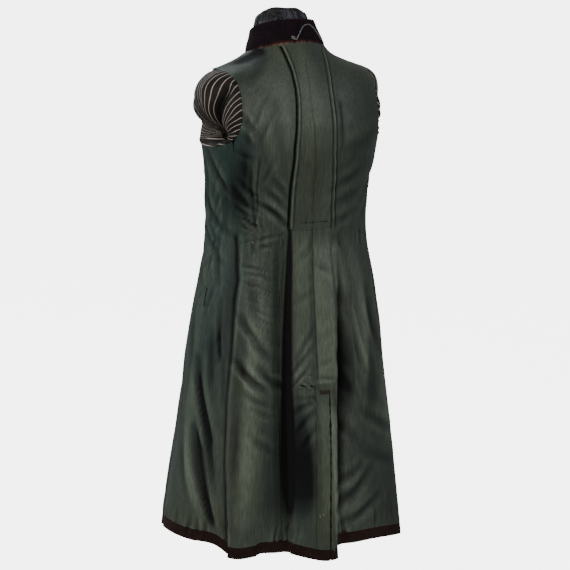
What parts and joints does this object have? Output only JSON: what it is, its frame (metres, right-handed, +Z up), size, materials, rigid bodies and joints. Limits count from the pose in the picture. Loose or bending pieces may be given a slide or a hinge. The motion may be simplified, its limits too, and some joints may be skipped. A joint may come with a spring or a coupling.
{
  "type": "military greatcoat, worn inside out",
  "caption": "Long fitted greatcoat turned inside out: dark green satin lining, brown wool hem, back vent, striped sleeve linings tucked inside, stand collar with silk neckband.",
  "frame": {"origin": "on the midline between the shoulders, at the height of the nape seam, where a wearer's shoulders hold the coat", "axes": "+Z up; the coat faces -Y, so its back is toward +Y; the wearer's left is +X"},
  "size_m": [0.5712, 0.472, 1.2072],
  "materials": {
    "back_centre_upper": "dark green satin lining",
    "back_centre_skirt_left": "dark green satin lining",
    "back_centre_skirt_right": "dark green satin lining",
    "vent_facing_left": "dark green satin lining, worn",
    "vent_facing_right": "dark green satin lining, worn",
    "back_side_upper_left": "dark green satin lining",
    "back_side_upper_right": "dark green satin lining",
    "back_side_skirt_left": "dark green satin lining",
    "back_side_skirt_right": "dark green satin lining",
    "side_left": "dark green satin lining",
    "side_right": "dark green satin lining",
    "slit_facing_left": "dark green satin lining",
    "slit_facing_right": "dark green satin lining",
    "front_left": "dark green satin lining",
    "front_right": "dark green satin lining",
    "front_facing_left": "dark brown milled wool",
    "front_facing_right": "dark brown milled wool",
    "hem_centre_left": "dark brown milled wool",
    "hem_centre_right": "dark brown milled wool",
    "hem_back_left": "dark brown milled wool",
    "hem_back_right": "dark brown milled wool",
    "hem_side_left": "dark brown milled wool",
    "hem_side_right": "dark brown milled wool",
    "hem_front_left": "dark brown milled wool",
    "hem_front_right": "dark brown milled wool",
    "sleeve_top_left": "dark brown sleeve lining with thin cream stripes",
    "sleeve_under_left": "dark brown sleeve lining with thin cream stripes",
    "sleeve_top_right": "dark brown sleeve lining with thin cream stripes",
    "sleeve_under_right": "dark brown sleeve lining with thin cream stripes",
    "collar": "maroon black velvet",
    "neckband": "black silk",
    "hanger_loop": "grey green cord",
    "button_1": "dark horn",
    "button_2": "dark horn",
    "button_3": "dark horn",
    "button_4": "dark horn",
    "button_5": "dark horn"
  },
  "bodies": {
    "root": {"back_centre_upper": "back_centre_upper", "back_centre_skirt_left": "back_centre_skirt_left", "back_centre_skirt_right": "back_centre_skirt_right", "vent_facing_left": "vent_facing_left", "vent_facing_right": "vent_facing_right", "back_side_upper_left": "back_side_upper_left", "back_side_upper_right": "back_side_upper_right", "back_side_skirt_left": "back_side_skirt_left", "back_side_skirt_right": "back_side_skirt_right", "side_left": "side_left", "side_right": "side_right", "slit_facing_left": "slit_facing_left", "slit_facing_right": "slit_facing_right", "front_left": "front_left", "front_right": "front_right", "front_facing_left": "front_facing_left", "front_facing_right": "front_facing_right", "hem_centre_left": "hem_centre_left", "hem_centre_right": "hem_centre_right", "hem_back_left": "hem_back_left", "hem_back_right": "hem_back_right", "hem_side_left": "hem_side_left", "hem_side_right": "hem_side_right", "hem_front_left": "hem_front_left", "hem_front_right": "hem_front_right", "sleeve_top_left": "sleeve_top_left", "sleeve_under_left": "sleeve_under_left", "sleeve_top_right": "sleeve_top_right", "sleeve_under_right": "sleeve_under_right", "collar": "collar", "neckband": "neckband", "hanger_loop": "hanger_loop", "button_1": "button_1", "button_2": "button_2", "button_3": "button_3", "button_4": "button_4", "button_5": "button_5"}
  },
  "joints": []
}
